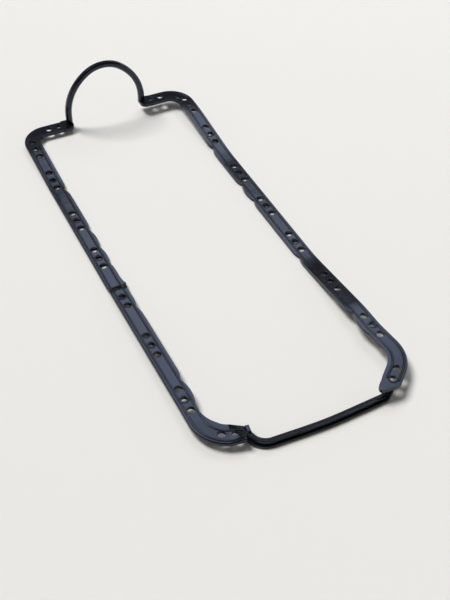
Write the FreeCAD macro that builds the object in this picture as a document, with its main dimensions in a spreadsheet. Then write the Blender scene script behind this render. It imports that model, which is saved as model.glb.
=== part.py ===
import FreeCAD, Part
import math
import os

from FreeCAD import Placement, Rotation, Vector
from Sketcher import Constraint

# One-piece moulded rubber oil pan gasket, in millimetres.
# X runs across the engine, +Y towards the narrow upright arch, +Z up from the surface it rests on.
# The gasket lies as a limp moulding lies: the middle of both rails is flat on that surface, the
# ends lift off it, and the left rail has one sharp fold.

doc = FreeCAD.newDocument("oil_pan_gasket")

SIZES = {
    # rail section
    "rail_line": 98.0,
    "thickness": 3.8,
    "outer_margin": 8.5,
    "inner_margin": 9.3,
    "stock_margin": 12.0,
    "bead_offset": 5.2,
    "bead_foot": 0.8,
    "bead_crest": 0.35,
    "bead_height": 0.6,
    "edge_bevel": 0.8,
    # bolt rows from the far end to the near end, and the three holes of each row
    "row_one": 196.0,
    "row_two": 138.5,
    "row_three": 64.0,
    "row_four": 0.0,
    "row_five": -64.0,
    "row_six": -135.5,
    "row_seven": -208.0,
    "hole_pitch": 13.2,
    "bolt_hole": 6.5,
    "flank_hole": 7.8,
    "notch_depth": 3.0,
    # far tabs and the upright arch between them
    "tab_line": 226.0,
    "far_corner_radius": 20.7,
    "tab_bolt_line": 59.2,
    "tab_flank_line": 71.7,
    "arch_middle": 2.0,
    "arch_half_span": 46.5,
    "arch_step": 3.5,
    "arch_spring": 18.4,
    "arch_flank_radius": 60.0,
    "arch_crown_radius": 36.0,
    "arch_cord": 7.2,
    "arch_bevel": 1.9,
    "arch_foot_reach": 5.8,
    # near corners, near tabs and the wide arch
    "left_near_line": -234.0,
    "left_near_radius": 28.0,
    "left_near_turn": 70.0,
    "left_near_twist": 23.0,
    "left_near_flare": 2.8,
    "right_near_line": -236.0,
    "right_near_radius": 31.0,
    "right_near_turn": 56.5,
    "bar_width": 8.0,
    "bar_height": 7.2,
    "bar_bevel": 0.5,
    "flange_reach": 2.0,
    "flange_height": 3.1,
    "crest_width": 1.5,
    "crest_drop": 1.8,
    # how far each end of a rail lifts off the surface
    "left_far_lift": 4.0,
    "right_far_lift": 10.0,
    "right_near_lift": 12.0,
    "right_rise_line": -80.0,
    "right_bow": 6.5,
    "fold_line": -45.5,
    "fold_angle": 24.0,
}

dims = doc.addObject("Spreadsheet::Sheet", "dims")
for row, (name, value) in enumerate(SIZES.items(), start=1):
    dims.set("A%d" % row, name)
    dims.set("B%d" % row, str(value))
    dims.setAlias("B%d" % row, name)
doc.recompute()


def size(name):
    return float(dims.get(name))


ROWS = ["row_one", "row_two", "row_three", "row_four", "row_five", "row_six", "row_seven"]


# Rail centre lines
# A rail is followed from its far tab, round the far corner, down the row of bolts and round the
# near corner. Every stretch is a straight run or an arc that touches its neighbours.

class Route:
    """Follows a line through space: forward, round a plan bend, or over a rise."""

    def __init__(self, start, heading):
        self.at = Vector(*start)
        self.heading = heading
        self.pitch = 0.0
        self.edges = []

    def along(self, pitch=None, heading=None):
        rise = math.radians(self.pitch if pitch is None else pitch)
        way = math.radians(self.heading if heading is None else heading)
        return Vector(math.cos(rise) * math.cos(way), math.cos(rise) * math.sin(way), math.sin(rise))

    def go(self, length):
        end = self.at + self.along() * length
        self.edges.append(Part.LineSegment(self.at, end).toShape())
        self.at = end

    def go_to_y(self, y):
        self.go((y - self.at.y) / self.along().y)

    def turn(self, radius, angle):
        """Plan bend, to the left for a positive angle."""
        side = math.copysign(90.0, angle)
        centre = self.at + self.along(heading=self.heading + side) * radius
        middle = centre - self.along(heading=self.heading + angle / 2 + side) * radius
        end = centre - self.along(heading=self.heading + angle + side) * radius
        self.edges.append(Part.Arc(self.at, middle, end).toShape())
        self.at = end
        self.heading += angle

    def tip(self, radius, angle):
        """Bend in the upright plane, upwards for a positive angle."""
        side = math.copysign(90.0, angle)
        centre = self.at + self.along(pitch=self.pitch + side) * radius
        middle = centre - self.along(pitch=self.pitch + angle / 2 + side) * radius
        end = centre - self.along(pitch=self.pitch + angle + side) * radius
        self.edges.append(Part.Arc(self.at, middle, end).toShape())
        self.at = end
        self.pitch += angle

    def ramp(self, change, angle, radius):
        """Level to level over two equal bends and the straight slope between them."""
        angle = math.copysign(angle, change)
        bend = 2 * radius * (1 - math.cos(math.radians(angle)))
        self.tip(radius, angle)
        self.go((abs(change) - bend) / math.sin(math.radians(abs(angle))))
        self.tip(radius, -angle)

    def spot_at(self, y):
        """Point and direction where the rail itself crosses the line y."""
        for edge in self.edges[1:]:
            first, last = edge.Vertexes[0].Point, edge.Vertexes[-1].Point
            if min(first.y, last.y) <= y <= max(first.y, last.y):
                low, high = edge.FirstParameter, edge.LastParameter
                falls = edge.valueAt(low).y > edge.valueAt(high).y
                for _ in range(40):
                    middle = (low + high) / 2
                    if (edge.valueAt(middle).y > y) == falls:
                        low = middle
                    else:
                        high = middle
                way = edge.tangentAt(low)
                return edge.valueAt(low), way if way.y < 0 else way * -1
        raise ValueError("no rail at %g" % y)


def tab_end(side):
    """Where the strip of a far tab ends, just outside the foot of the arch."""
    return size("arch_middle") + side * (size("arch_half_span") + size("arch_foot_reach"))


def left_route():
    lift = size("left_far_lift")
    corner = size("far_corner_radius")
    fold = size("fold_angle")
    slope = 1.6
    route = Route((tab_end(-1), size("tab_line"), lift), 180.0)
    route.go(size("rail_line") - corner + tab_end(-1))
    route.turn(corner, 90.0)
    route.ramp(-lift, 3.5, 300.0)
    route.go_to_y(size("fold_line"))
    # the sharp fold, then the rail eases back to a gentle slope
    route.tip(6.0, fold)
    route.tip(19.0, slope - fold)
    route.go_to_y(size("row_seven") - 4.0)
    route.tip(300.0, -slope)
    route.go_to_y(size("left_near_line"))
    route.turn(size("left_near_radius"), size("left_near_turn"))
    return route


def right_route():
    far_lift = size("right_far_lift")
    corner = size("far_corner_radius")
    route = Route((tab_end(1), size("tab_line"), far_lift), 0.0)
    route.go(size("rail_line") - corner - tab_end(1))
    route.turn(corner, -90.0)
    route.ramp(-far_lift, 7.0, 300.0)
    route.go_to_y(size("right_rise_line"))
    route.ramp(size("right_near_lift"), 7.2, 200.0)
    # the limp near end bows outwards before its corner
    route.turn(150.0, size("right_bow"))
    route.go_to_y(size("right_near_line"))
    route.turn(size("right_near_radius"), -size("right_near_turn"))
    route.go(14.0)
    return route


def path_object(label, edges):
    path = doc.addObject("Part::Feature", label)
    path.Shape = Part.Wire(edges)
    return path


# Rail section
# Flat strip with a bevelled outer edge and two narrow sealing beads on its upper face. Its inner
# side carries spare stock that the scalloped opening trims away.

def strip_corners(outer_side, inner_side):
    """(across, up) of every corner, each a sum of named sizes; nothing means on the axis."""
    outer = outer_side + " -bead_offset"
    inner = outer_side + " bead_offset"
    edge = outer_side + " " + inner_side
    crest = "thickness bead_height"
    return [
        ("", ""), (edge, ""), (edge, "thickness"),
        (inner + " bead_foot", "thickness"), (inner + " bead_crest", crest),
        (inner + " -bead_crest", crest), (inner + " -bead_foot", "thickness"),
        (outer + " bead_foot", "thickness"), (outer + " bead_crest", crest),
        (outer + " -bead_crest", crest), (outer + " -bead_foot", "thickness"),
        ("edge_bevel", "thickness"), ("", "thickness -edge_bevel"),
    ]


def total(terms):
    """Value of a sum of named sizes, such as "thickness -edge_bevel"."""
    return sum(-size(term[1:]) if term[0] == "-" else size(term) for term in terms.split())


def formula(terms):
    """The same sum as a formula on the sheet."""
    return "0 mm" + "".join(" - 1 mm * dims." + term[1:] if term[0] == "-" else " + 1 mm * dims." + term
                            for term in terms.split())


def section(label, corners):
    """Sketch of a closed outline through the corners, every one held by the sheet."""
    spots = [Vector(total(across), total(up), 0) for across, up in corners]
    sketch = doc.addObject("Sketcher::SketchObject", label)
    for here, following in zip(spots, spots[1:] + spots[:1]):
        sketch.addGeometry(Part.LineSegment(here, following), False)
    for index in range(len(spots)):
        sketch.addConstraint(Constraint("Coincident", index, 2, (index + 1) % len(spots), 1))
    for index, (terms, spot) in enumerate(zip(corners, spots)):
        for kind, axis, words, value in (("DistanceX", -2, terms[0], spot.x), ("DistanceY", -1, terms[1], spot.y)):
            if words:
                number = sketch.addConstraint(Constraint(kind, -1, 1, index, 1, value))
                sketch.setExpression("Constraints[%d]" % number, formula(words))
            else:
                sketch.addConstraint(Constraint("PointOnObject", index, 1, axis))
    return sketch


def swept(label, outline, path):
    sweep = doc.addObject("Part::Sweep", label)
    sweep.Sections = [outline]
    sweep.Spine = (path, [])
    sweep.Solid = True
    sweep.Frenet = False
    return sweep


def swept_rail(label, route):
    """The section stands on its outer edge side, facing along the start of the route."""
    path = path_object(label + "_line", route.edges)
    start = route.edges[0].Vertexes[0].Point
    strip = section(label + "_section", strip_corners("outer_margin", "stock_margin"))
    strip.Placement = Placement(start, Rotation(Vector(0, -1, 0), Vector(0, 0, 1), Vector(-1, 0, 0), "XYZ"))
    strip.setExpression("Placement.Base.y", "dims.tab_line + dims.outer_margin")
    return swept(label, strip, path)


left_way = left_route()
right_way = right_route()
left_rail = swept_rail("left_rail", left_way)
right_rail = swept_rail("right_rail", right_way)


# Scalloped opening
# The inner edge swells between the bolts and pinches beside them. Each notch is (line, share of
# the full notch depth); two notches close together have one round lobe between them.

LEFT_NOTCHES = [(118.0, 1.1), (45.0, 0.9), (15.0, 0.75), (-11.5, 0.6), (-45.5, -0.8),
                (-82.5, 0.8), (-185.5, 1.0), (-216.5, 1.0)]
RIGHT_NOTCHES = [(118.0, 1.1), (44.0, 0.9), (14.5, 0.75), (-86.0, 0.75), (-186.0, 1.0), (-217.0, 0.8)]


def scallops(side, first_y, notches):
    """Edges of one inner side from first_y down to the last notch."""
    crest = size("rail_line") - size("inner_margin")
    depth = size("notch_depth")
    shoulder = 11.0
    edges = []

    def spot(y, out=0.0):
        return Vector(side * (crest + out), y, 0)

    here = spot(first_y)
    lobe_open = False
    for y, share in notches:
        notch = spot(y, depth * share)
        length = here.y - y
        if lobe_open and length < 3 * shoulder:
            edges.append(Part.Arc(here, spot((here.y + y) / 2, -0.3), notch).toShape())
        else:
            top = here
            if lobe_open:
                top = spot(here.y - shoulder)
                swell = Vector((here.x * 0.25 + top.x * 0.75), here.y - shoulder / 2, 0)
                edges.append(Part.Arc(here, swell, top).toShape())
            foot = spot(y + shoulder)
            edges.append(Part.LineSegment(top, foot).toShape())
            swell = Vector(notch.x * 0.25 + foot.x * 0.75, y + shoulder / 2, 0)
            edges.append(Part.Arc(foot, swell, notch).toShape())
        here = notch
        lobe_open = True
    return edges, here


def inner_side(side, notches, near_points):
    """One whole inner side: far tab, far corner, scallops, near corner and near tab.

    The near points are (inside the bolt line, beyond the last bolt row).
    """
    line = size("rail_line")
    margin = size("inner_margin")
    bend = size("far_corner_radius") - margin
    tab_edge = size("tab_line") - margin + (1.2 if side < 0 else 0.0)
    corner = Vector(side * (line - margin - bend), tab_edge - bend, 0)
    far_tip = Vector(side * 30.0, tab_edge, 0)
    corner_top = corner + Vector(0, bend, 0)
    corner_middle = corner + Vector(side, 1, 0).normalize() * bend
    corner_foot = corner + Vector(side * bend, 0, 0)
    edges = [Part.LineSegment(far_tip, corner_top).toShape(),
             Part.Arc(corner_top, corner_middle, corner_foot).toShape()]
    wavy, here = scallops(side, corner_foot.y, notches)
    edges += wavy
    last_row = size("row_seven")
    straight, middle, last, near_tip = [
        Vector(side * (line - inside), last_row - beyond, 0) for inside, beyond in near_points]
    edges.append(Part.LineSegment(here, straight).toShape())
    edges.append(Part.Arc(straight, middle, last).toShape())
    edges.append(Part.LineSegment(last, near_tip).toShape())
    return edges, far_tip, near_tip


def opening():
    """Everything inside the two rails, as one tall prism."""
    left_side, left_top, left_tip = inner_side(
        -1, LEFT_NOTCHES, [(6.3, 19.0), (14.8, 35.1), (27.2, 43.4), (40.0, 47.6)])
    right_side, right_top, right_tip = inner_side(
        1, RIGHT_NOTCHES, [(6.0, 23.0), (6.5, 35.5), (14.0, 47.5), (38.0, 67.7)])
    near = Part.LineSegment(left_tip, right_tip).toShape()
    far = Part.LineSegment(right_top, left_top).toShape()
    outline = Part.Wire(Part.__sortEdges__(left_side + [near] + right_side + [far]))
    face = doc.addObject("Part::Feature", "opening_outline")
    face.Shape = Part.Face(outline)
    prism = doc.addObject("Part::Extrusion", "opening")
    prism.Base = face
    prism.DirMode = "Custom"
    prism.Dir = Vector(0, 0, 1)
    prism.Solid = True
    prism.setExpression("LengthFwd", "dims.thickness + 40")
    prism.setExpression("LengthRev", "dims.thickness + 5")
    return prism


def cut(label, base, tool):
    result = doc.addObject("Part::Cut", label)
    result.Base = base
    result.Tool = tool
    return result


def fuse(label, pieces):
    result = doc.addObject("Part::MultiFuse", label)
    result.Shapes = pieces
    return result


# Ends of the tabs
# Each tab stops in a plain pad with rounded corners, where the arch cord grows out of it.

def end_pad(label, at, heading, length, rounding):
    """Pad as wide and thick as the strip, its far corners rounded; at is the strip's last point."""
    half = size("outer_margin") - 0.1
    block = doc.addObject("Part::Box", label + "_block")
    block.Length = length
    block.setExpression("Width", "dims.outer_margin + dims.inner_margin - 0.2")
    block.setExpression("Height", "dims.thickness - 0.1")
    turn = Rotation(Vector(0, 0, 1), heading)
    start = at - turn.multVec(Vector(4.0, half, 0)) + Vector(0, 0, 0.05)
    block.Placement = Placement(start, turn)
    doc.recompute()
    rounds = []
    for index, edge in enumerate(Part.makeBox(length, 2 * half, 4.0).Edges, start=1):
        ends = [vertex.Point for vertex in edge.Vertexes]
        upright = abs(ends[0].z - ends[1].z) > 1.0
        if upright and ends[0].x > length / 2:
            radius = rounding[0] if ends[0].y < half else rounding[1]
            rounds.append((index, radius, radius))
    pad = doc.addObject("Part::Fillet", label)
    pad.Base = block
    pad.Edges = rounds
    return pad


def near_right_pad():
    """Slanting end of the right near tab, rounded where the wide arch comes in under it."""
    way = right_way.along()
    outward = Vector(-way.y, way.x, 0)
    inner = -size("inner_margin") - 0.3
    outer = size("outer_margin") - 0.1
    start = right_way.at + Vector(0, 0, 0.05)
    corners = [start + way * ahead + outward * across
               for ahead, across in ((-6.0, inner), (13.4, inner), (17.9, inner + 3.8), (4.7, outer), (-6.0, outer))]
    edges = rounded_run(corners, [6.0, 3.0, 10.0])
    edges.append(Part.LineSegment(corners[-1], corners[0]).toShape())
    face = doc.addObject("Part::Feature", "near_right_pad_outline")
    face.Shape = Part.Face(Part.Wire(edges))
    pad = doc.addObject("Part::Extrusion", "near_right_pad")
    pad.Base = face
    pad.DirMode = "Custom"
    pad.Dir = Vector(0, 0, 1)
    pad.Solid = True
    pad.setExpression("LengthFwd", "dims.thickness - 0.1")
    return pad


def left_near_tab():
    """The last stretch of the left tab, flared and twisted so that its inner edge dips."""
    way = left_way.along()
    inward = Vector(-way.y, way.x, 0)
    sections = []
    for distance, angle in ((0.0, 0.0), (14.0, size("left_near_twist"))):
        twist = math.radians(angle)
        across = inward * math.cos(twist) - Vector(0, 0, math.sin(twist))
        upward = inward * math.sin(twist) + Vector(0, 0, math.cos(twist))
        strip = section("twist_section_%d" % len(sections), strip_corners("outer_margin", "inner_margin left_near_flare"))
        spot = left_way.at + way * distance - across * size("outer_margin")
        strip.Placement = Placement(spot, Rotation(across, upward, across.cross(upward), "XYZ"))
        sections.append(strip)
    tab = doc.addObject("Part::Loft", "left_near_tab")
    tab.Sections = sections
    tab.Solid = True
    tab.Ruled = True
    return tab


def lug():
    """Small square ear standing on the end of the left near tab."""
    block = doc.addObject("Part::Box", "lug_block")
    block.Length = 4.0
    block.Width = 8.0
    block.Height = 5.6
    corner = left_way.at + Vector(15.4, -2.9, 0)
    block.Placement = Placement(Vector(corner.x, corner.y, 4.2), Rotation(Vector(0, 0, 1), -8))
    ear = doc.addObject("Part::Chamfer", "lug")
    ear.Base = block
    ear.Edges = [(index, 0.8, 0.8) for index in (2, 6, 10, 12)]
    return ear


# Arches

def far_arch():
    """Slim bevelled bar: two short legs, two flank arcs and the crown arc."""
    half = size("arch_half_span")
    flank = size("arch_flank_radius")
    crown = size("arch_crown_radius")
    lean = math.degrees(math.acos((flank - half) / (flank - crown)))
    left_foot = size("left_far_lift") + 1.2
    right_foot = size("right_far_lift") + 1.2
    start_y = size("tab_line") + size("arch_step")
    route = Route((size("arch_middle") - half, start_y, left_foot), 0.0)
    route.pitch = 90.0
    route.go(size("arch_spring") - left_foot)
    route.tip(flank, -lean)
    route.tip(crown, 2 * lean - 180.0)
    route.tip(flank, -lean)
    route.go(size("arch_spring") - right_foot)
    corners = [("arch_bevel", ""), ("arch_cord -arch_bevel", ""), ("arch_cord", "arch_bevel"),
               ("arch_cord", "arch_cord -arch_bevel"), ("arch_cord -arch_bevel", "arch_cord"),
               ("arch_bevel", "arch_cord"), ("", "arch_cord -arch_bevel"), ("", "arch_bevel")]
    outline = section("far_arch_section", corners)
    start = route.edges[0].Vertexes[0].Point
    centre = Vector(1, 1, 0) * size("arch_cord") / 2
    outline.Placement = Placement(start - centre, Rotation())
    return swept("far_arch", outline, path_object("far_arch_line", route.edges))


def rounded_run(points, radii):
    """Straight runs through the points, each inner point replaced by an arc of its radius."""
    edges = []
    here = points[0]
    for before, corner, after, radius in zip(points, points[1:], points[2:], radii):
        back = (before - corner).normalize()
        ahead = (after - corner).normalize()
        half = back.getAngle(ahead) / 2
        reach = radius / math.tan(half)
        first = corner + back * reach
        last = corner + ahead * reach
        inner = (back + ahead).normalize()
        middle = corner + inner * (radius / math.sin(half) - radius)
        edges.append(Part.LineSegment(here, first).toShape())
        edges.append(Part.Arc(first, middle, last).toShape())
        here = last
    edges.append(Part.LineSegment(here, points[-1]).toShape())
    return edges


def near_arch():
    """The wide near arch, flopped outwards so that it lies along the surface.

    Its bar has a low flange along the outer side and a narrow crest beside it.
    """
    left, right = left_way.at, right_way.at
    points = [
        Vector(left.x + 12.9, left.y + 3.3, 2.2),
        Vector(left.x + 20.3, left.y - 17.5, 0.2),
        Vector((left.x + right.x) / 2 + 5.0, left.y - 22.0, 0.2),
        Vector(right.x - 10.0, right.y - 8.0, 0.2),
        Vector(right.x - 2.0, right.y - 3.7, right.z - 4.0),
    ]
    crest = "flange_reach crest_width"
    back = "bar_height -crest_drop"
    corners = [("", "bar_bevel"), ("bar_bevel", ""), ("bar_width -bar_bevel", ""), ("bar_width", "bar_bevel"),
               ("bar_width", back + " -bar_bevel"), ("bar_width -bar_bevel", back), (crest, "bar_height"),
               ("flange_reach", "bar_height"), ("flange_reach", "flange_height"),
               ("bar_bevel", "flange_height"), ("", "flange_height -bar_bevel")]
    outline = section("near_arch_section", corners)
    way = (points[1] - points[0]).normalize()
    inward = Vector(-way.y, way.x, 0).normalize()
    outline.Placement = Placement(points[0] - inward * 2.9, Rotation(inward, way.cross(inward), way, "ZXY"))
    edges = rounded_run(points, [19.0, 400.0, 7.0])
    return swept("near_arch", outline, path_object("near_arch_line", edges))


# Holes
# Every bolt passes the middle hole of three. The two wider holes beside it let the rubber spread
# when the bolts are drawn down.

def drill(label, spot, normal, diameter):
    """Rod that passes right through the strip at its foot point."""
    rod = doc.addObject("Part::Cylinder", label)
    rod.setExpression("Radius", "dims.%s / 2" % diameter)
    rod.setExpression("Height", "dims.thickness + 14")
    rod.Placement = Placement(spot - normal * 6.0, Rotation(Vector(0, 0, 1), normal))
    return rod


def hole_spots():
    """(label, foot point, normal, name of the diameter) of every hole."""
    spots = []
    pitch = size("hole_pitch")
    for side, way in (("left", left_way), ("right", right_way)):
        for number, row in enumerate(ROWS, start=1):
            for step, kind, diameter in ((1, "far", "flank_hole"), (0, "bolt", "bolt_hole"),
                                         (-1, "near", "flank_hole")):
                spot, run = way.spot_at(size(row) + step * pitch)
                normal = Vector(0, -run.z, run.y) * (-1 if run.y < 0 else 1)
                normal.normalize()
                spots.append(("%s_row_%d_%s" % (side, number, kind), spot, normal, diameter))
    up = Vector(0, 0, 1)
    for side, sign, lift in (("left", -1, "left_far_lift"), ("right", 1, "right_far_lift")):
        for kind, line in (("bolt", "tab_bolt_line"), ("flank", "tab_flank_line")):
            spot = Vector(sign * size(line), size("tab_line"), size(lift))
            spots.append(("%s_far_tab_%s" % (side, kind), spot, up, kind + "_hole"))
    for side, end, bolt, flank in (("left", left_way.at, (5.4, 0.0), (-6.0, 4.3)),
                                   ("right", right_way.at, (0.7, 0.6), (10.7, 9.0))):
        spots.append((side + "_near_tab_bolt", end + Vector(*bolt, 0), up, "bolt_hole"))
        spots.append((side + "_near_tab_flank", end + Vector(*flank, 0), up, "flank_hole"))
    return spots


strip_pair = fuse("strip_pair", [left_rail, right_rail])
rails = cut("rails", strip_pair, opening())

holes = []
for label, spot, normal, diameter in hole_spots():
    holes.append(drill(label, spot, normal, diameter))

far_left_end = Vector(tab_end(-1), size("tab_line"), size("left_far_lift"))
far_right_end = Vector(tab_end(1), size("tab_line"), size("right_far_lift"))
pads = [end_pad("far_left_pad", far_left_end, 0.0, 13.2, (7.0, 3.0)),
        end_pad("far_right_pad", far_right_end, 180.0, 13.2, (3.0, 7.0)), near_right_pad()]

blank = fuse("gasket_blank", [rails, left_near_tab(), far_arch(), near_arch(), lug()] + pads)
drills = fuse("all_holes", holes)
gasket = cut("gasket", blank, drills)
doc.recompute()

for item in doc.Objects:
    if "Invalid" in item.State or "Error" in item.State:
        raise RuntimeError("%s did not build: %s" % (item.Label, item.State))
shape = gasket.Shape
if shape.isNull() or not shape.isValid():
    raise RuntimeError("the gasket shape is not valid")
print("solids", len(shape.Solids), "volume", round(shape.Volume), shape.BoundBox)

os.makedirs("parts", exist_ok=True)
shape.exportStep("parts/gasket.step")
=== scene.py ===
import math

import bpy
from mathutils import Matrix, Vector


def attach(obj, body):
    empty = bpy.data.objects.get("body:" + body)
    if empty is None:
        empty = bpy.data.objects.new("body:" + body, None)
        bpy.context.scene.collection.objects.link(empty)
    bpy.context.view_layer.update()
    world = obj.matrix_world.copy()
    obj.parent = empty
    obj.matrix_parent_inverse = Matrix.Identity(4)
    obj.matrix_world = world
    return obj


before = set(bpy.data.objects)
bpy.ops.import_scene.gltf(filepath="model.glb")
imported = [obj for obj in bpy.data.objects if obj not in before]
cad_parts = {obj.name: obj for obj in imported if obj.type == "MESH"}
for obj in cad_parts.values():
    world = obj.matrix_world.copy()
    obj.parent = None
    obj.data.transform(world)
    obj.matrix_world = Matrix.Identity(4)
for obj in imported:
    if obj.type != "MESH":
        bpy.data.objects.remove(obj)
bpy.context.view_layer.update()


# Moulded gasket
# The whole gasket is one moulding of black nitrile rubber, pressed in a steel mould. It keeps the
# solid's shape; this section gives it the rubber's surface.

def to_linear(hex_colour):
    """The linear colour, with alpha, of an sRGB hex value."""
    channels = [int(hex_colour[i:i + 2], 16) / 255 for i in (1, 3, 5)]
    return [c / 12.92 if c <= 0.04045 else ((c + 0.055) / 1.055) ** 2.4 for c in channels] + [1.0]


def add_node(material, kind, links=None, **settings):
    """One node of a material, with its settings and the sockets that feed it."""
    node = material.node_tree.nodes.new(kind)
    for name, value in settings.items():
        if name in node.inputs.keys():
            node.inputs[name].default_value = value
        else:
            setattr(node, name, value)
    for name, source in (links or {}).items():
        material.node_tree.links.new(source, node.inputs[name])
    return node


MM = 0.001
BLOOM_PATCH = 25 * MM
DUST_SPECK = 0.9 * MM
DUST_SHOW = 0.35
CORNER_REACH = 1.4 * MM
EDGE_ROUNDING = 0.5 * MM
WAVE_LENGTH = 12 * MM
WAVE_HEIGHT = 0.4 * MM
PIT_WIDTH = 0.5 * MM
PIT_DEPTH = 0.05 * MM


def moulded_rubber(name):
    """Black nitrile rubber as it leaves a polished steel mould.

    To the eye it is near black with a cool satin sheen, very fine pitting, a thin uneven bloom
    that greys it in patches, and soft rounded edges that catch a line of light.
    """
    material = bpy.data.materials.new(name)
    material.use_nodes = True
    shader = material.node_tree.nodes["Principled BSDF"]
    shader.inputs["IOR"].default_value = 1.52
    shader.inputs["Metallic"].default_value = 0.0
    shader.inputs["Specular Tint"].default_value = to_linear("#cfdcff")
    place = add_node(material, "ShaderNodeTexCoord").outputs["Object"]

    # bloom: waxy patches about 25 mm across that lift the black a little
    patches = add_node(material, "ShaderNodeTexNoise", {"Vector": place},
                       Scale=1 / BLOOM_PATCH, Detail=4.0, Roughness=0.6)
    bloom = add_node(material, "ShaderNodeMapRange", {"Value": patches.outputs["Fac"]})
    bloom.inputs["From Min"].default_value = 0.38
    bloom.inputs["From Max"].default_value = 0.68

    # handling dust: faint specks under a millimetre, scattered over the whole surface
    grit = add_node(material, "ShaderNodeTexNoise", {"Vector": place},
                    Scale=1 / DUST_SPECK, Detail=2.0, Roughness=0.5)
    specks = add_node(material, "ShaderNodeMapRange", {"Value": grit.outputs["Fac"]})
    specks.inputs["From Min"].default_value = 0.66
    specks.inputs["From Max"].default_value = 0.78

    # colour: near black, lifted a little by the bloom and dotted by the dust
    black = add_node(material, "ShaderNodeMix", {"Factor": bloom.outputs["Result"]}, data_type="RGBA")
    black.inputs[6].default_value = to_linear("#0a0b0f")
    black.inputs[7].default_value = to_linear("#14161c")
    faint = add_node(material, "ShaderNodeMath", {0: specks.outputs["Result"]}, operation="MULTIPLY")
    faint.inputs[1].default_value = DUST_SHOW
    dusty = add_node(material, "ShaderNodeMix", {"Factor": faint.outputs["Value"]}, data_type="RGBA")
    material.node_tree.links.new(black.outputs[2], dusty.inputs[6])
    dusty.inputs[7].default_value = to_linear("#6d6f74")
    material.node_tree.links.new(dusty.outputs[2], shader.inputs["Base Color"])

    # painted shade: the sheen is turned down and the surface dulled in the corners at the feet of the
    # beads and collars, drawn as dark lines
    corner = add_node(material, "ShaderNodeAmbientOcclusion", samples=12, Distance=CORNER_REACH)
    painted_corner_shade = add_node(material, "ShaderNodeMapRange", {"Value": corner.outputs["AO"]})
    painted_corner_shade.inputs["From Min"].default_value = 0.95
    painted_corner_shade.inputs["From Max"].default_value = 0.78
    gloss = add_node(material, "ShaderNodeMapRange", {"Value": painted_corner_shade.outputs["Result"]})
    gloss.inputs["To Min"].default_value = 0.5
    gloss.inputs["To Max"].default_value = 0.08
    material.node_tree.links.new(gloss.outputs["Result"], shader.inputs["Specular IOR Level"])

    # roughness: satin, a little duller under the bloom and dull where the corner shade is painted
    satin = add_node(material, "ShaderNodeMapRange", {"Value": bloom.outputs["Result"]})
    satin.inputs["To Min"].default_value = 0.15
    satin.inputs["To Max"].default_value = 0.21
    # the painted corner shade also raises the roughness to 0.5 at the bead and collar feet
    dull = add_node(material, "ShaderNodeMix", {"Factor": painted_corner_shade.outputs["Result"]}, data_type="FLOAT")
    material.node_tree.links.new(satin.outputs["Result"], dull.inputs[2])
    dull.inputs[3].default_value = 0.5
    material.node_tree.links.new(dull.outputs[0], shader.inputs["Roughness"])

    # surface: mould pitting 0.5 mm wide over slow waves 12 mm long, on edges rounded by 0.5 mm
    round_edges = add_node(material, "ShaderNodeBevel", samples=6, Radius=EDGE_ROUNDING)
    waves = add_node(material, "ShaderNodeTexNoise", {"Vector": place}, Scale=1 / WAVE_LENGTH, Detail=2.0)
    slow = add_node(material, "ShaderNodeBump", {"Height": waves.outputs["Fac"],
                                                 "Normal": round_edges.outputs["Normal"]},
                    Strength=0.35, Distance=WAVE_HEIGHT)
    pits = add_node(material, "ShaderNodeTexNoise", {"Vector": place}, Scale=1 / PIT_WIDTH, Detail=2.0)
    fine = add_node(material, "ShaderNodeBump", {"Height": pits.outputs["Fac"],
                                                 "Normal": slow.outputs["Normal"]},
                    Strength=0.25, Distance=PIT_DEPTH)
    material.node_tree.links.new(fine.outputs["Normal"], shader.inputs["Normal"])
    return material


rubber = moulded_rubber("moulded nitrile rubber")
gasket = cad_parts["gasket"]
gasket.data.materials.clear()
gasket.data.materials.append(rubber)


# Collars of the bolt holes
# A low ring of the same rubber stands round each bolt hole of both rails and of three of the tabs,
# so that the bolt's load meets a raised edge first. Each is moulded in one piece with the strip.

RAIL_LINE = 98.0 * MM
BOLT_ROWS = [196.0 * MM, 138.5 * MM, 64.0 * MM, 0.0, -64.0 * MM, -135.5 * MM, -208.0 * MM]
NEAR_BOW = 2.0 * MM
TAB_BOLTS = [(-59.2 * MM, 226.0 * MM), (59.2 * MM, 226.0 * MM), (80.2 * MM, -271.6 * MM)]
HOLE_RADIUS = 3.25 * MM
COLLAR_WIDTH = 0.95 * MM
COLLAR_HEIGHT = 0.4 * MM
COLLAR_ROUNDING = 0.16 * MM
COLLAR_SIDES = 48
SEARCH_REACH = HOLE_RADIUS + 2.2 * MM
RIM_REACH = HOLE_RADIUS + 0.6 * MM
SEARCH_PASSES = 3
SMOOTH_ANGLE = math.radians(40)


def bolt_rim(x, y):
    """Centre and direction of the upper rim of the bolt hole nearest to a place."""
    reach = SEARCH_REACH
    for _ in range(SEARCH_PASSES):
        ring = {tuple(round(c, 6) for c in vertex.co) for vertex in gasket.data.vertices
                if math.hypot(vertex.co.x - x, vertex.co.y - y) < reach}
        middle = (max(spot[2] for spot in ring) + min(spot[2] for spot in ring)) / 2
        rim = [Vector(spot) for spot in ring if spot[2] > middle]
        centre = sum(rim, Vector()) / len(rim)
        x, y = centre.x, centre.y
        reach = RIM_REACH
    ahead = max(rim, key=lambda spot: spot.y)
    behind = min(rim, key=lambda spot: spot.y)
    slope = (ahead - behind).normalized()
    upward = Vector((1, 0, 0)).cross(slope).normalized()
    return centre, upward


def clear_selection():
    for item in bpy.context.selected_objects:
        item.select_set(False)


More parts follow.
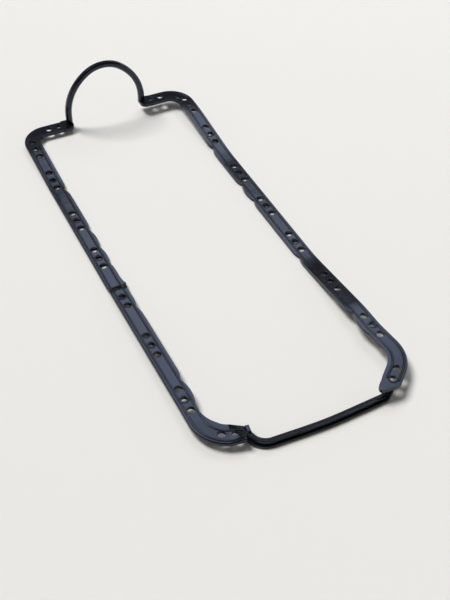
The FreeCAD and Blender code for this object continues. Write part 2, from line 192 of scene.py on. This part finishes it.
def collar_ring():
    """One low ring, modelled upright at the origin."""
    clear_selection()
    bpy.ops.mesh.primitive_cylinder_add(vertices=COLLAR_SIDES, radius=HOLE_RADIUS + COLLAR_WIDTH,
                                        depth=2 * COLLAR_HEIGHT, end_fill_type="NGON")
    ring = bpy.context.object
    bpy.ops.object.mode_set(mode="EDIT")
    bpy.ops.mesh.select_mode(type="FACE")
    bpy.ops.mesh.select_all(action="DESELECT")
    bpy.ops.object.mode_set(mode="OBJECT")
    for face in ring.data.polygons:
        face.select = abs(face.normal.z) > 0.9
    bpy.ops.object.mode_set(mode="EDIT")
    bpy.ops.mesh.inset(thickness=COLLAR_WIDTH, depth=0)
    bpy.ops.mesh.bridge_edge_loops()
    bpy.ops.mesh.select_all(action="SELECT")
    bpy.ops.mesh.normals_make_consistent(inside=False)
    bpy.ops.object.mode_set(mode="OBJECT")
    edges = ring.modifiers.new("round", "BEVEL")
    edges.width = COLLAR_ROUNDING
    edges.segments = 3
    edges.limit_method = "ANGLE"
    bpy.ops.object.modifier_apply(modifier=edges.name)
    bpy.ops.object.shade_smooth_by_angle(angle=SMOOTH_ANGLE)
    return ring


pattern = collar_ring()
pattern.data.materials.append(rubber)
places = [(side * RAIL_LINE, y) for side in (-1, 1) for y in BOLT_ROWS]
# the right rail bows outwards at its last row
places[-1] = (RAIL_LINE + NEAR_BOW, BOLT_ROWS[-1])
for number, (x, y) in enumerate(places + TAB_BOLTS, start=1):
    centre, upward = bolt_rim(x, y)
    clear_selection()
    pattern.select_set(True)
    bpy.context.view_layer.objects.active = pattern
    bpy.ops.object.duplicate()
    collar = bpy.context.object
    collar.name = "bolt_collar_%d" % number
    collar.rotation_euler = Vector((0, 0, 1)).rotation_difference(upward).to_euler()
    collar.location = centre
    bpy.ops.object.transform_apply(location=True, rotation=True, scale=True)
    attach(collar, "root")
bpy.data.objects.remove(pattern)


# Floor
# A round matt paper sweep, far larger than the view, that turns up all round into a wall, so that
# a side view has pale ground behind it too. It isn't part of the object.

FLOOR_RADIUS = 3.2
FLOOR_SIDES = 96
FLOOR_DROP = 0.0002
SWEEP_RADIUS = 1.0
SWEEP_STEPS = 10
WALL_TOP = 1.6


def pale_floor():
    material = bpy.data.materials.new("matt paper sweep")
    material.use_nodes = True
    shader = material.node_tree.nodes["Principled BSDF"]
    shader.inputs["Base Color"].default_value = to_linear("#f2f1ee")
    shader.inputs["Roughness"].default_value = 0.9
    shader.inputs["Specular IOR Level"].default_value = 0.2
    return material


clear_selection()
bpy.ops.mesh.primitive_circle_add(vertices=FLOOR_SIDES, radius=FLOOR_RADIUS, fill_type="NGON",
                                  location=(0, 0, 0))
floor = bpy.context.object
floor.name = "floor"
bpy.ops.object.mode_set(mode="EDIT")
bpy.ops.mesh.select_mode(type="EDGE")
bpy.ops.mesh.select_all(action="SELECT")
# every ring of the sweep is drawn up from the last one and widened to its own radius
radius, height = FLOOR_RADIUS, 0.0
turns = [math.pi / 2 * step / SWEEP_STEPS for step in range(1, SWEEP_STEPS + 1)]
rings = [(FLOOR_RADIUS + SWEEP_RADIUS * math.sin(turn), SWEEP_RADIUS * (1 - math.cos(turn)))
         for turn in turns]
for next_radius, next_height in rings + [(FLOOR_RADIUS + SWEEP_RADIUS, WALL_TOP)]:
    bpy.ops.mesh.extrude_edges_move(TRANSFORM_OT_translate={"value": (0, 0, next_height - height)})
    bpy.ops.transform.resize(value=(next_radius / radius, next_radius / radius, 1))
    radius, height = next_radius, next_height
bpy.ops.object.mode_set(mode="OBJECT")
bpy.ops.object.shade_smooth_by_angle(angle=SMOOTH_ANGLE)
floor.location.z = -FLOOR_DROP
bpy.ops.object.transform_apply(location=True, rotation=True, scale=True)
floor.data.materials.append(pale_floor())


# Light
# A soft box high behind the gasket, on its right, gives the flat faces their cool sheen. A broad
# far key from behind on the left lights the sweep, and the strip shades the floor that most of
# the bolt holes show. A faint even world fills the rest.

BOX_PLACE = (0.844, 1.367, 1.915)
BOX_WIDTH = 1.4
BOX_DEPTH = 1.05
BOX_POWER = 12.3
BOX_COLOUR = (0.84, 0.91, 1.0)
KEY_STRENGTH = 2.5
KEY_SPREAD = math.radians(25)
KEY_COLOUR = (1.0, 0.985, 0.96)
KEY_WAY = (0.294, -0.405, -0.866)
FILL_STRENGTH = 0.09

box = bpy.data.lights.new("back_soft_box", "AREA")
box.shape = "RECTANGLE"
box.size = BOX_WIDTH
box.size_y = BOX_DEPTH
box.energy = BOX_POWER
box.color = BOX_COLOUR
box_holder = bpy.data.objects.new("back_soft_box", box)
bpy.context.scene.collection.objects.link(box_holder)
box_holder.location = BOX_PLACE
box_holder.rotation_euler = (-Vector(BOX_PLACE)).to_track_quat("-Z", "Y").to_euler()

key = bpy.data.lights.new("far_soft_key", "SUN")
key.energy = KEY_STRENGTH
key.angle = KEY_SPREAD
key.color = KEY_COLOUR
key_holder = bpy.data.objects.new("far_soft_key", key)
bpy.context.scene.collection.objects.link(key_holder)
key_holder.rotation_euler = Vector(KEY_WAY).to_track_quat("-Z", "Y").to_euler()

world = bpy.data.worlds.new("pale_studio")
bpy.context.scene.world = world
world.use_nodes = True
sky = world.node_tree.nodes["Background"]
sky.inputs["Color"].default_value = (1.0, 1.0, 1.0, 1.0)
sky.inputs["Strength"].default_value = FILL_STRENGTH


# Camera
# It stands above the near left of the gasket and looks down along it to the right, at the
# photograph's viewing angle and with its perspective.

CAMERA_PLACE = (-0.3102, -0.6639, 0.6628)
NEAR_CLIP = 0.01
IMAGE_HEIGHT = 600
FOCAL_PIXELS = 924.2
LOOK_DOWN = math.radians(46.20)
LOOK_RIGHT = math.radians(28.61)
ROLL = math.radians(-2.42)

view = bpy.data.cameras.new("camera")
view.sensor_fit = "VERTICAL"
view.lens = view.sensor_height * FOCAL_PIXELS / IMAGE_HEIGHT
view.clip_start = NEAR_CLIP
camera = bpy.data.objects.new("camera", view)
bpy.context.scene.collection.objects.link(camera)
turn = (Matrix.Rotation(-LOOK_RIGHT, 4, "Z") @ Matrix.Rotation(math.pi / 2 - LOOK_DOWN, 4, "X")
        @ Matrix.Rotation(-ROLL, 4, "Z"))
camera.matrix_world = Matrix.Translation(CAMERA_PLACE) @ turn
bpy.context.scene.camera = camera
bpy.context.scene.view_settings.view_transform = "Standard"
